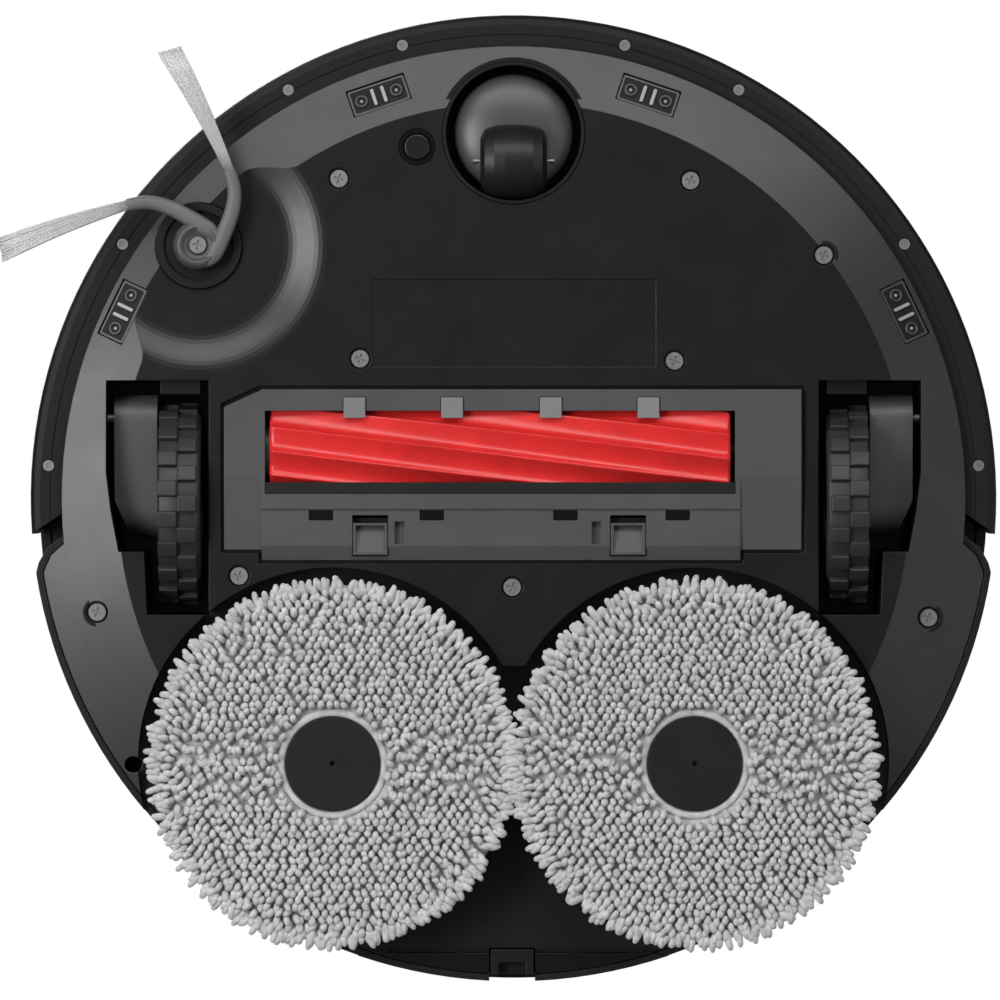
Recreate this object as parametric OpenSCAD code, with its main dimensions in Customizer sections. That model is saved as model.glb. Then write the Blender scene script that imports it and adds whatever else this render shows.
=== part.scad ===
// Robot vacuum and mop: a round floor robot seen best from below.
// +Z is up, the floor is z = 0, the origin is on the body's axis, the front (bumper) faces -Y.
// "left" and "right" are the robot's own: with the front at -Y its left side is +X.

/* [Body] */
// Diameter of the body and bumper
body_d = 350; // [340:1:360]
// Height of the top deck above the floor
deck_z = 80; // [78:1:84]
// Height of the laser turret's cap above the floor
turret_z = 97; // [95:1:104]
// Ground clearance under the flat bottom plate
plate_z = 11; // [10:0.5:12]
// Diameter of the flat bottom plate, where the bevelled band starts
plate_d = 286; // [280:1:290]

/* [Bumper] */
// Inner radius of the bumper's bottom flange
flange_r = 162; // [160:0.5:163]

/* [Wheels] */
// Diameter of a drive wheel
wheel_d = 73.7; // [70:0.1:74]
// Width of a tyre
tyre_w = 15.6; // [14:0.1:16]
// Distance from the body's axis to the middle of a tyre
wheel_x = 120.5; // [120:0.1:121]
// Diameter of the caster wheel
caster_d = 26.8; // [24:0.1:27]
// Width of the caster wheel
caster_w = 24; // [20:0.5:24]

/* [Brushes] */
// Diameter swept by the main brush's blades
brush_d = 45.6; // [44:0.1:46]
// Length of the main brush's core
brush_len = 164; // [150:1:164]
// Number of blades on the main brush
blade_count = 6; // [4:1:8]
// Turn of the blades from end to end, degrees
blade_twist = 56; // [0:1:90]
// Radius that the side brush sweeps
side_sweep = 71.5; // [60:0.5:72]

/* [Mops] */
// Diameter of a mop pad
pad_d = 129.8; // [120:0.1:129.8]
// Thickness of a mop pad
pad_t = 9.2; // [7:0.1:9.4]
// Diameter of the hole in a mop pad
pad_hole_d = 34.6; // [34:0.1:40]
// Distance between the mops' spindles
mop_pitch = 130.4; // [130.4:0.1:131]

/* [Hidden] */
$fn = 96;
wall = 2;
skin_t = 2.5;

body_r = body_d / 2;
plate_r = plate_d / 2;
rim_front_r = 163.5;
rim_rear_r = 172.3;
band_slope = 7 / 20.5;
band_tilt = atan(band_slope);
shell_in_r = 172.6;
frame_r = 152.3;
shell_z = 21.5;
shell_top = deck_z - 5.2;

wheel_r = wheel_d / 2;
wheel_y = 2.1;
arm_pivot_y = -29;
arm_pivot_z = 30;
arm_x0 = 129;
arm_x1 = 144.6;
well_x0 = 110;
well_x1 = 147.2;
well_y0 = -42.5;
well_y1 = 42.2;

caster_y = -131.8;
caster_trail = 10.1;
caster_r = caster_d / 2;
puck_r = 21.5;
socket_r = 25.6;

brush_y = -17;
brush_z = 28.3;
brush_x = -5;
housing_x0 = -95;
housing_x1 = 85;
housing_y0 = -44;
housing_y1 = 9;
housing_top = 54.3;
housing_z0 = 16.1;

side_x = -113.8;
side_y = -91.2;

mop_x = mop_pitch / 2;
mop_y = 95.7;
recess_r = 70.6;
recess_z = 25;
recess_mid_y = 60.6;

turret_y = 45;
lid_r = 146;
lid_half = 98;
lid_back = -24;
hinge_y = -26;
hinge_z = 78.9;

bay = [[-82, -120, 37.5], [58, -48.2, 75.7]];
fan_at = [91, -75.2];

screw_spots = [[-63, -115.3], [63.9, -114.6], [112, -87.7], [-55.4, -50.3], [58.1, -49.5],
    [-99.1, 28.1], [-0.5, 32.2], [-150.5, 41.2], [150, 43.2]];
bumper_screw_angles = [-86, -57, -28.9, -13.8, 13.8, 28.9, 57, 86];
cliff_spots = [[-64.5, 156.6], [-18.5, 153.6], [18.5, 153.6], [64.5, 156.6]];
carpet_at = [-34.8, -126.7];
latch_xs = [-51.7, 41.3];
tab_xs = [-57.4, -22.2, 13.4, 48.6];
slot_xs = [-69.5, -29.5, 18.7, 59.2];

plastic_black = [0.13, 0.13, 0.14];
plastic_dark = [0.2, 0.2, 0.21];
plastic_grey = [0.35, 0.35, 0.36];
plastic_light = [0.55, 0.55, 0.55];
rubber_black = [0.1, 0.1, 0.1];
steel = [0.7, 0.7, 0.72];
red_rubber = [0.85, 0.16, 0.18];
yarn_grey = [0.78, 0.77, 0.76];

// ---- helpers ----

// Height of the bottom skin's outer face at a distance from the body's axis
function skin_z(r) = r < plate_r ? plate_z : plate_z + (r - plate_r) * band_slope;

// A box given by its lowest and highest corners
module span(low, high) {
    translate(low) cube(high - low);
}

// A hollow upright cylinder
module tube(r_out, r_in, z0, z1) {
    difference() {
        translate([0, 0, z0]) cylinder(r = r_out, h = z1 - z0);
        translate([0, 0, z0 - 1]) cylinder(r = r_in, h = z1 - z0 + 2);
    }
}

// A solid cylinder lying along X
module rod_x(r, x0, x1, y, z) {
    translate([x0, y, z]) rotate([0, 90, 0]) cylinder(r = r, h = x1 - x0);
}

// Places children at an angle from the front (-Y) and a distance from the body's axis
module around(angle, r, z = 0) {
    rotate([0, 0, angle]) translate([0, -r, z]) children();
}

// Places children on the bevelled band, with local +Z pointing into the body
module on_band(angle, r) {
    around(angle, r, skin_z(r)) rotate([-band_tilt, 0, 0]) children();
}

// Mirrors a left-side part to the right side when side is -1
module on_side(side) {
    if (side > 0) {
        children();
    } else {
        mirror([1, 0, 0]) children();
    }
}

// The brush guard's outline, grown by g
module guard_outline(g = 0) {
    polygon([[-90.5 - g, -39.2 - g], [103.8 + g, -39.2 - g], [103.8 + g, 18.6 + g],
        [81.8 + g, 18.6 + g], [81.8 + g, 22.4 + g], [-90.8 - g, 22.4 + g], [-90.8 - g, 18.6 + g],
        [-104.4 - g, 18.6 + g], [-104.4 - g, -32.8 - g]]);
}

// The mop recess seen from below, grown by g
module recess_outline(g = 0) {
    for (s = [-1, 1]) {
        translate([s * mop_x, mop_y]) circle(r = recess_r + g);
    }
    translate([-46, recess_mid_y - g]) square([92, 104 + g]);
}

// ---- root: chassis and shells ----

// Bottom skin: flat plate with the bevelled band out to rim_r
module bottom_skin(rim_r) {
    rotate_extrude($fn = 180) polygon([[0, plate_z], [plate_r, plate_z],
        [rim_r, skin_z(rim_r)], [rim_r, skin_z(rim_r) + skin_t],
        [plate_r - 0.4, plate_z + skin_t], [0, plate_z + skin_t]]);
}

// Outer line of the rear shell's shoulders, behind the bumper's ends
module shoulder_region(d = 0) {
    polygon([[-155, 14 + d], [-163.8 + 0.3 * d, 14 + d], [-169 + 0.6 * d, 18 + d],
        [-172 + 0.8 * d, 23.5 + d], [-173.6 + d, 30 + d], [-180, 34 + d], [-180, 200], [180, 200],
        [180, 34 + d], [173.6 - d, 30 + d], [172 - 0.8 * d, 23.5 + d], [169 - 0.6 * d, 18 + d],
        [163.8 - 0.3 * d, 14 + d], [155, 14 + d]]);
}

// One wheel well's opening, on the left side, with cut corners
module well_outline(g = 0) {
    polygon([[well_x0 - g, well_y0 - g], [well_x1 + g, well_y0 - g], [well_x1 + g, -9.4],
        [145.6 + g, 3.9], [142.6 + g, 19.4 + g], [133.4 + g, 19.4 + g], [132.4 + g, well_y1 + g],
        [well_x0 - g, well_y1 + g]]);
}

// Extrudes an outline up to z1, starting inside the bottom skin in steps that follow the band
module from_skin(z1, last_step) {
    for (i = [0:last_step]) {
        z0 = plate_z + 1.3 + 6 * i * band_slope;
        intersection() {
            translate([0, 0, z0]) linear_extrude(z1 - z0) children();
            cylinder(r = min(plate_r + 2.8 + 6 * i, rim_rear_r), h = 80, $fn = 180);
        }
    }
}

// Cutter for the smooth dish around the side brush: its wall follows a cosine
module dish_cutter() {
    steps = 10;
    depth = 3.4;
    r_in = 31;
    r_out = 46.5;
    wall_curve = [for (i = [0:steps]) [r_in + (r_out - r_in) * i / steps,
        plate_z + depth * (1 + cos(180 * i / steps)) / 2]];
    translate([side_x, side_y, 0]) rotate_extrude()
        polygon(concat([[0, 0], [0, plate_z + depth]], wall_curve, [[r_out, 0]]));
}

module screw_bosses() {
    for (p = screw_spots) {
        z = skin_z(norm(p));
        translate([p[0], p[1], z + 0.6]) cylinder(r = 5.2, h = 9, $fn = 40);
    }
}

module screw_holes() {
    for (p = screw_spots) {
        z = skin_z(norm(p));
        translate([p[0], p[1], z - 3]) cylinder(r = 4, h = 4.6, $fn = 40);
        translate([p[0], p[1], z]) cylinder(r = 1.6, h = 8.6, $fn = 24);
    }
}

module bottom_chassis() {
    color(plastic_black) union() {
        difference() {
            union() {
                bottom_skin(rim_front_r);
                intersection() {
                    bottom_skin(rim_rear_r);
                    linear_extrude(40) shoulder_region(2.7);
                }
                // ring wall that carries the deck, behind the bumper
                rotate_extrude(angle = 190, start = 175) translate([frame_r - 2.3, plate_z + 3.3])
                    square([2.3, 76 - plate_z - 3.3]);
                // wheel well walls
                for (s = [-1, 1]) {
                    on_side(s) from_skin(75.9, 2) well_outline(wall);
                }
                // mop recess walls and ceiling
                from_skin(recess_z + wall, 5) recess_outline(1.4);
                // guard pocket
                translate([0, 0, plate_z + 0.5]) linear_extrude(4.5) guard_outline(2.2);
                // thickening behind the side brush dish
                from_skin(plate_z + 6.8, 1) translate([side_x, side_y]) circle(r = 47);
                screw_bosses();
                translate([carpet_at[0], carpet_at[1], plate_z + 1]) cylinder(r = 8.6, h = 7);
                translate([0, caster_y, plate_z + 1]) cylinder(r = socket_r + 1.8, h = 6);
                for (c = cliff_spots) {
                    on_band(c[0], c[1]) translate([-12.2, -6.3, 0.6]) cube([24.4, 12.6, 2.4]);
                }
            }
            // recesses and openings
            translate([0, 0, -1]) linear_extrude(recess_z + 1) recess_outline(0);
            for (s = [-1, 1]) {
                on_side(s) translate([0, 0, -1]) linear_extrude(90) well_outline(0);
                // holes for the suspension pivot pins
                on_side(s) rod_x(2.2, well_x1 - 1, well_x1 + wall + 3, arm_pivot_y, arm_pivot_z);
                // holes for the mop drive necks
                translate([s * mop_x, mop_y, 0]) cylinder(r = 20.6, h = 60);
            }
            linear_extrude(plate_z + 2.6) guard_outline(1.3);
            span([housing_x0 + wall, -38.9, 0], [housing_x1 - wall, housing_y1 - wall, 40]);
            dish_cutter();
            translate([side_x, side_y, 0]) cylinder(r = 15.8, h = 60);
            screw_holes();
            translate([carpet_at[0], carpet_at[1], 0]) cylinder(r = 6.8, h = 40);
            translate([0, caster_y, 0]) cylinder(r = socket_r + 0.2, h = 60);
            for (c = cliff_spots) {
                on_band(c[0], c[1]) translate([-11, -5.25, -6]) cube([22, 10.5, 20]);
            }
            // rear port notch
            span([-8.8, 163, 0], [7.8, 180, 60]);
            // small drain hole beside the right mop
            translate([-137.7, 96.4, 0]) cylinder(r = 3, h = 40, $fn = 32);
            // label recess
            span([-51, -79, 0], [51.4, -47.3, plate_z + 0.35]);
        }
        // ledges in front of the wheels
        for (s = [-1, 1]) {
            on_side(s) span([113.2, well_y0 - 1, 15], [127.6, -37.6, 20]);
        }
    }
}

module rear_shell() {
    color(plastic_black) difference() {
        translate([0, 0, shell_z]) linear_extrude(shell_top - shell_z) difference() {
            intersection() {
                circle(r = body_r, $fn = 180);
                shoulder_region(0);
            }
            intersection() {
                circle(r = shell_in_r, $fn = 180);
                shoulder_region(2.4);
            }
            // clear of the frame's ring wall and the wheel wells
            square([2 * 156, 60], center = true);
        }
        translate([0, 0, -1]) linear_extrude(recess_z + 1) recess_outline(0);
        span([-8.8, 160, 0], [7.8, 180, 46]);
        for (s = [-1, 1]) {
            translate([s * 30, 172, 40]) cube([13, 12, 13], center = true);
        }
        // exhaust slots on the left side
        for (i = [0:9]) {
            rotate([0, 0, 38 + 3 * i]) span([170, -1, 44], [180, 1, 62]);
        }
    }
}

// The lid's outline with rounded corners, grown by g
module lid_outline(g = 0) {
    offset(r = 9 + g, $fn = 48) offset(delta = -9) intersection() {
        circle(r = lid_r, $fn = 180);
        translate([-lid_half, -160]) square([2 * lid_half, 160 + lid_back]);
    }
}

module top_deck() {
    corner = 5;
    arc = [for (a = [0:15:90]) [body_r - 0.5 - corner + corner * cos(90 - a),
        deck_z - corner + corner * sin(90 - a)]];
    color(plastic_dark) difference() {
        rotate_extrude($fn = 180) polygon(concat([[0, deck_z - 4], [0, deck_z]], arc,
            [[body_r - 4, deck_z - corner], [body_r - 4.6, deck_z - 4]]));
        translate([0, 0, deck_z - 2.4]) linear_extrude(5) lid_outline(0.5);
        translate([0, 0, deck_z - 6]) linear_extrude(12) difference() {
            lid_outline(-4);
            translate([-120, -30]) square([240, 3]);
        }
        // clear space behind the lid's hinge edge
        span([-lid_half + 4, -29, 70], [lid_half - 4, lid_back + 0.8, 90]);
        span([-lid_half + 1, -29, deck_z - 2.4], [lid_half - 1, lid_back + 0.2, 90]);
        rod_x(1.06, -lid_half - 4.5, lid_half + 4.5, hinge_y, hinge_z);
        translate([0, turret_y, 70]) cylinder(r = 39.8, h = 20);
        for (s = [-1, 1]) {
            translate([s * 14, -9, 70]) cylinder(r = 5.3, h = 20);
        }
        // finger notch in front of the lid
        translate([0, -lid_r - 3, deck_z + 5]) sphere(r = 9);
    }
}

// ---- root: suction path ----

module brush_housing() {
    color(plastic_dark) difference() {
        union() {
            span([housing_x0, housing_y0, housing_z0], [housing_x1, housing_y1, housing_top]);
            span([-32, -48.1, 39.5], [32, housing_y0 + 1, 52.4]);
        }
        span([housing_x0 + wall, housing_y0 + wall, 0],
            [housing_x1 - wall, housing_y1 - wall, housing_top - wall]);
        span([-30, -60, 41.5], [30, housing_y0 + 5, 50.4]);
        // drive coupling hole
        rod_x(6.4, housing_x1 - 5, housing_x1 + 5, brush_y, brush_z);
    }
}

module bin_bay() {
    color(plastic_dark) difference() {
        span(bay[0], bay[1]);
        span(bay[0] + [wall, wall, wall], bay[1] + [-wall, -wall, 5]);
        span([-30, -60, 41.5], [30, -40, 50.4]);
        // opening to the fan, in the side wall
        span([50, -84, 45], [70, -62, 66]);
    }
}

module dust_bin() {
    low = bay[0] + [wall + 0.4, wall + 0.4, wall + 0.4];
    high = [bay[1][0] - wall - 0.4, bay[1][1] - wall - 0.4, 75.4];
    color([0.35, 0.35, 0.38]) difference() {
        span(low, high);
        span(low + [1.8, 1.8, 1.8], high + [-9.8, -1.8, -4.4]);
        span([-29.5, -60, 42], [29.5, -45, 49.9]);
        // filter seat in the left wall, open at the top
        span([high[0] - 7, -92, 42.5], [high[0] - 2.2, -56, 90]);
        span([high[0] - 12, -90, 45], [high[0] + 1, -58, 68]);
        // finger recess with a bar left across it
        span([-34, -100, 73.2], [-14, -68, 80]);
        span([-6, -100, 73.2], [14, -68, 80]);
    }
}

module dust_filter() {
    x1 = bay[1][0] - wall - 0.4 - 2.4;
    color([0.9, 0.9, 0.88]) difference() {
        span([x1 - 4.4, -91.8, 42.7], [x1, -56.2, 72.4]);
        for (i = [0:7]) {
            span([x1 - 4.6, -87.6 + 4 * i, 46], [x1 - 1.4, -85.6 + 4 * i, 67]);
        }
    }
}

module fan_blower() {
    color(plastic_grey) difference() {
        union() {
            translate([fan_at[0], fan_at[1], 30]) cylinder(r = 30, h = 38);
            span([58.2, -86, 43], [75, -60, 67]);
        }
        span([50, -83, 45.5], [fan_at[0] - 10, -63, 64.5]);
        translate([fan_at[0], fan_at[1], 44]) cylinder(r = 24, h = 21);
    }
    color(steel) translate([fan_at[0], fan_at[1], 43.9]) cylinder(r = 6, h = 21.2);
}

module main_brush_gearbox() {
    color(plastic_grey) difference() {
        union() {
            span([85.4, -34, 17], [105.5, 6, 50]);
            rod_x(11, 85.4, 104, -24, 61.5);
        }
        rod_x(6.2, 80, 90, brush_y, brush_z);
    }
}

// ---- root: electronics, power and water ----

module main_board() {
    color([0.1, 0.35, 0.2]) span([-52, 86.5, 70.2], [52, 126, 71.8]);
    color(rubber_black) for (x = [-20, 6]) {
        span([x, 96, 67.8], [x + 14, 110, 70.2]);
    }
    color(plastic_light) for (x = [-46, -26, 20, 38]) {
        span([x, 120, 71.8], [x + 10, 125, 74.5]);
    }
}

module battery_pack() {
    color([0.2, 0.3, 0.5]) difference() {
        span([-68, 25.5, 29], [68, 64, 67]);
        for (s = [-1, 1]) {
            for (x = [-66.5:19:60]) {
                translate([x, s * 19.5 + 44.75 - 1, 28]) cube([16, 2, 40]);
            }
        }
    }
}

module side_brush_gearbox() {
    color(plastic_grey) difference() {
        union() {
            translate([side_x, side_y, 12.6]) cylinder(r = 15.5, h = 6.9);
            translate([side_x, side_y, 19]) cylinder(r = 13.2, h = 37);
        }
        translate([side_x, side_y, 0]) cylinder(r = 4.08, h = 26);
        translate([side_x, side_y, 11]) cylinder(r = 12.6, h = 3);
    }
}

module water_tank() {
    color([0.55, 0.6, 0.65]) difference() {
        intersection() {
            span([-70, 121, 29], [70, 168, 62]);
            cylinder(r = 168, h = 90, $fn = 180);
        }
        intersection() {
            span([-68, 123, 31], [68, 164, 60]);
            cylinder(r = 166, h = 90, $fn = 180);
        }
        span([-13, 158, 20], [12, 180, 70]);
    }
    // inner wall that closes the tank around the port
    color([0.55, 0.6, 0.65]) span([-15, 156, 30], [14, 158, 61]);
}

module water_pump() {
    color(plastic_grey) {
        translate([-92, 128, 29.5]) cylinder(r = 13, h = 22);
        translate([-86, 128, 40]) rotate([0, 90, 0]) cylinder(r = 3, h = 14);
    }
}

module speaker() {
    color(rubber_black) translate([-91, 62, 30]) difference() {
        cylinder(r = 16, h = 12);
        translate([0, 0, 8]) cylinder(r1 = 5, r2 = 13, h = 4.1);
    }
}

module charging_contacts() {
    color(steel) for (s = [-1, 1]) {
        intersection() {
            translate([s * 30, 172, 40]) cube([12.4, 12, 12.4], center = true);
            tube(body_r - 0.2, body_r - 1.6, 20, 60, $fn = 180);
        }
    }
}

module rear_water_port() {
    color(plastic_black) difference() {
        span([-8.2, 163.4, 19.5], [7.2, 172.6, 45.6]);
        for (x = [-4.2, 3.2]) {
            translate([x, 160, 32]) rotate([-90, 0, 0]) cylinder(r = 2.4, h = 20, $fn = 32);
        }
        span([-5.6, 168, 10], [4.6, 180, 24]);
    }
}

module cliff_sensor_windows() {
    color([0.08, 0.08, 0.09]) for (c = cliff_spots) {
        on_band(c[0], c[1]) translate([-10.8, -5.05, 1.1]) cube([21.6, 10.1, 1.6]);
    }
}

module carpet_sensor() {
    translate([carpet_at[0], carpet_at[1], 0]) {
        color(plastic_black) tube(6.6, 5.2, plate_z + 0.3, plate_z + 7);
        color(plastic_dark) translate([0, 0, plate_z + 1]) cylinder(r = 5.2, h = 5);
    }
}

module caster_socket() {
    color(rubber_black) translate([0, caster_y, 0]) difference() {
        translate([0, 0, plate_z - 0.6]) cylinder(r = socket_r, h = 36.4 - plate_z + 0.6);
        cylinder(r = socket_r - 1.2, h = 33.6);
        cylinder(r = 4.06, h = 60);
    }
}

module chassis_screws() {
    color(steel) for (p = screw_spots) {
        z = skin_z(norm(p)) + 0.5;
        translate([p[0], p[1], z]) difference() {
            union() {
                cylinder(r = 3.1, h = 1.1, $fn = 40);
                cylinder(r = 1.5, h = 7.4, $fn = 24);
            }
            for (a = [0, 90]) {
                rotate([0, 0, a + 20]) cube([3.6, 0.7, 1.2], center = true);
            }
        }
    }
}

module suspension_pins() {
    color(steel) for (s = [-1, 1]) {
        on_side(s) rod_x(2, arm_x0 + 0.3, well_x1 + wall, arm_pivot_y, arm_pivot_z);
    }
}

// ---- root: laser turret's fixed parts ----

module lidar_base() {
    color(plastic_dark) translate([0, turret_y, 0]) {
        difference() {
            union() {
                translate([0, 0, 70]) cylinder(r = 39.5, h = 13);
                translate([0, 0, deck_z + 0.05]) cylinder(r = 42, h = 2.95);
            }
            translate([0, 0, 72]) cylinder(r = 33.5, h = 20);
        }
        translate([0, 0, 71]) cylinder(r = 5, h = 18);
    }
}

module lidar_cap() {
    color(plastic_black) translate([0, turret_y, 0]) {
        rotate_extrude() polygon([[0, turret_z - 3], [0, turret_z], [34, turret_z], [38, turret_z - 0.6],
            [40.4, turret_z - 2], [41, turret_z - 3.4], [41, turret_z - 4], [38, turret_z - 4],
            [36, turret_z - 3]]);
        for (a = [45:90:315]) {
            rotate([0, 0, a]) translate([37.2, 0, 83]) cylinder(r = 2, h = turret_z - 3.5 - 83, $fn = 32);
        }
    }
}

module lidar_rotor() {
    color(rubber_black) translate([0, turret_y, 0]) difference() {
        translate([0, 0, 74]) cylinder(r = 32, h = 17.4);
        translate([0, 0, 60]) cylinder(r = 5.08, h = 40);
        // windows of the emitter and the receiver
        for (x = [-11, 9]) {
            translate([x, -34, 88]) rotate([-90, 0, 0]) cylinder(r = 3.2, h = 14, $fn = 40);
        }
    }
}

// ---- bumper ----

// Everything in front of the bumper's slanted end faces
module bumper_region() {
    polygon([[-200, 30], [-174.5, 13], [-164, 6], [-150, -3.2], [150, -3.2], [164, 6], [174.5, 13],
        [200, 30], [200, -200], [-200, -200]]);
}

module bumper_shell() {
    profile = [[flange_r, shell_z - 0.5], [171.5, shell_z - 0.5], [173.6, shell_z + 0.1],
        [174.7, shell_z + 1.4], [body_r, shell_z + 3], [body_r, 72], [174.2, 73.7], [172.8, 74.4],
        [166, 74.4], [166, 72.6], [172.6, 72.6], [172.6, shell_z + 1.9], [flange_r, shell_z + 1.9]];
    color(plastic_black) difference() {
        intersection() {
            rotate_extrude($fn = 180) polygon(profile);
            linear_extrude(90) bumper_region();
        }
        // parting groove in the flange
        tube(168, 167.2, 0, shell_z - 0.1, $fn = 180);
        for (a = bumper_screw_angles) {
            around(a, 168.8) cylinder(r = 2.3, h = shell_z + 0.6, $fn = 32);
            around(a, 168.8) cylinder(r = 1, h = 30, $fn = 24);
        }
        // infrared window seat at the front
        span([-26, -180, 40], [26, -150, 58]);
    }
}

module bumper_screws() {
    color(steel) for (a = bumper_screw_angles) {
        around(a, 168.8, shell_z - 0.3) difference() {
            union() {
                cylinder(r = 2, h = 0.85, $fn = 32);
                cylinder(r = 0.95, h = 4, $fn = 24);
            }
            for (t = [0, 90]) {
                rotate([0, 0, t + 35]) cube([2.4, 0.5, 0.8], center = true);
            }
        }
    }
}

module bumper_sensor_window() {
    color([0.05, 0.05, 0.06]) intersection() {
        tube(body_r - 0.1, shell_in_r + 0.1, 40.2, 57.8, $fn = 180);
        span([-25.8, -180, 30], [25.8, -150, 70]);
    }
}

// ---- drive wheels (left side; mirrored for the right) ----

module arm_side() {
    hull() {
        translate([arm_pivot_y, arm_pivot_z]) circle(r = 8.5, $fn = 48);
        translate([wheel_y, wheel_r]) circle(r = 12, $fn = 48);
    }
}

module wheel_gearbox() {
    color(plastic_grey) difference() {
        union() {
            translate([arm_x0, 0, 0]) rotate([90, 0, 90]) linear_extrude(arm_x1 - arm_x0) arm_side();
            // seat for the drive motor
            span([arm_x0 + 0.5, -20, 40], [arm_x1 - 0.5, -4, 50]);
        }
        rod_x(2.06, 120, 150, arm_pivot_y, arm_pivot_z);
        rod_x(3.07, 120, arm_x1 - 3, wheel_y, wheel_r);
        rod_x(9.02, 120, 150, -12, 57.6);
        // chamfered outer rear corner
        translate([arm_x1 + 0.4, 0, 0]) rotate([0, 0, 24]) span([0, -10, 0], [20, 60, 70]);
    }
}

module drive_motor() {
    color(steel) rod_x(9, arm_x0 + 0.2, arm_x1 - 1, -12, 57.6);
}

// A compression spring between the suspension arm and the deck, swept along a helix
module suspension_spring() {
    turns = 5;
    sides = 8;
    rings = turns * 12;
    coil_r = 4.1;
    wire_r = 0.7;
    z0 = 50.2;
    z1 = 74.6;
    points = [for (i = [0:rings], j = [0:sides - 1])
        let (a = 360 * turns * i / rings, b = 360 * j / sides, r = coil_r + wire_r * cos(b))
            [137 + r * cos(a), wheel_y + r * sin(a), z0 + (z1 - z0) * i / rings + wire_r * sin(b)]];
    quads = [for (i = [0:rings - 1], j = [0:sides - 1])
        [i * sides + j, i * sides + (j + 1) % sides, (i + 1) * sides + (j + 1) % sides,
            (i + 1) * sides + j]];
    caps = [[for (j = [sides - 1:-1:0]) j], [for (j = [0:sides - 1]) rings * sides + j]];
    color(steel) polyhedron(points, concat(quads, caps));
}

module wheel_rim() {
    x0 = wheel_x - tyre_w / 2;
    color(plastic_dark) difference() {
        union() {
            rod_x(wheel_r - 8, x0 + 0.8, x0 + tyre_w - 0.8, wheel_y, wheel_r);
            rod_x(3, x0 + 5, arm_x1 - 3.4, wheel_y, wheel_r);
        }
        // dished face towards the body's middle
        rod_x(22, x0 - 1, x0 + 4, wheel_y, wheel_r);
    }
}

module tyre() {
    x0 = wheel_x - tyre_w / 2;
    color(rubber_black) difference() {
        rod_x(wheel_r, x0, x0 + tyre_w, wheel_y, wheel_r);
        rod_x(wheel_r - 8, x0 - 1, x0 + tyre_w + 1, wheel_y, wheel_r);
        // groove between the two rows of tread
        translate([x0 + tyre_w / 2 - 0.6, wheel_y, wheel_r]) rotate([0, 90, 0])
            tube(wheel_r + 5, wheel_r - 1.6, 0, 1.2);
    }
}

module left_wheel_gearbox() { wheel_gearbox(); }
module left_drive_motor() { drive_motor(); }
module left_suspension_spring() { suspension_spring(); }
module left_wheel_rim() { wheel_rim(); }
module left_tyre() { tyre(); }
module right_wheel_gearbox() { on_side(-1) wheel_gearbox(); }
module right_drive_motor() { on_side(-1) drive_motor(); }
module right_suspension_spring() { on_side(-1) suspension_spring(); }
module right_wheel_rim() { on_side(-1) wheel_rim(); }
module right_tyre() { on_side(-1) tyre(); }

// ---- caster ----

module caster_fork() {
    color(plastic_grey) difference() {
        union() {
            translate([0, caster_y, 0]) rotate_extrude() polygon([[0, 10.2], [15, 10.4], [18.6, 11.2],
                [20.6, 12.8], [puck_r, 15.5], [puck_r, 31.5], [0, 31.5]]);
            translate([0, caster_y, 31]) cylinder(r = 4, h = 8);
        }
        // slot for the wheel
        span([-caster_w / 2 - 0.7, caster_y - 6, 0],
            [caster_w / 2 + 0.7, caster_y + 40, caster_d + 1.4]);
        rod_x(1.0, -30, 30, caster_y + caster_trail, caster_r);
        // arched relief in front of the wheel
        rod_x(caster_r + 1.2, -caster_w / 2 - 0.7, caster_w / 2 + 0.7, caster_y + caster_trail, caster_r);
    }
}

module caster_axle() {
    color(steel) rod_x(0.95, -14.7, 14.7, caster_y + caster_trail, caster_r);
}

module caster_wheel() {
    color(rubber_black) translate([-caster_w / 2, caster_y + caster_trail, caster_r]) rotate([0, 90, 0])
        rotate_extrude() polygon([[1.03, 0], [8.5, 0], [11.6, 1.6], [12.9, 5], [caster_r, 9],
            [caster_r, caster_w - 9], [12.9, caster_w - 5], [11.6, caster_w - 1.6], [8.5, caster_w],
            [1.03, caster_w]]);
}

// ---- main brush ----

module main_brush_core() {
    x0 = brush_x - brush_len / 2;
    color(plastic_dark) {
        rod_x(13, x0, x0 + brush_len, brush_y, brush_z);
        rod_x(3, x0 - 3, x0 + 1, brush_y, brush_z);
        // drive peg into the gearbox
        rod_x(6, x0 + brush_len - 1, 89.5, brush_y, brush_z);
    }
}

module main_brush_blades() {
    x0 = brush_x - brush_len / 2 + 0.5;
    color(red_rubber) difference() {
        translate([x0, brush_y, brush_z]) rotate([0, 90, 0])
            linear_extrude(brush_len - 1, twist = blade_twist, slices = 24) union() {
                circle(r = 15.4, $fn = 36);
                for (i = [0:blade_count - 1]) {
                    rotate(360 / blade_count * i) polygon([[14, -2], [22, -1.1], [brush_d / 2, -0.5],
                        [brush_d / 2, 0.5], [22, 1.1], [14, 2]]);
                }
            }
        rod_x(13.03, x0 - 5, x0 + brush_len + 5, brush_y, brush_z);
    }
}

module main_brush_end_caps() {
    color(plastic_light) difference() {
        rod_x(12, -92.6, -87.4, brush_y, brush_z);
        rod_x(3.06, -91, -80, brush_y, brush_z);
    }
}

// ---- side brush ----

// Middle line of an arm as seen from above: it leaves the hub sideways and curls outwards
arm_line = [[6.5, 1], [9.6, -5.4], [12, -11], [13.1, -16.6], [12.9, -21.4], [11.4, -27], [8.5, -34.4]];
arm_tip = [-10.2, side_sweep * -0.985];

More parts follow.
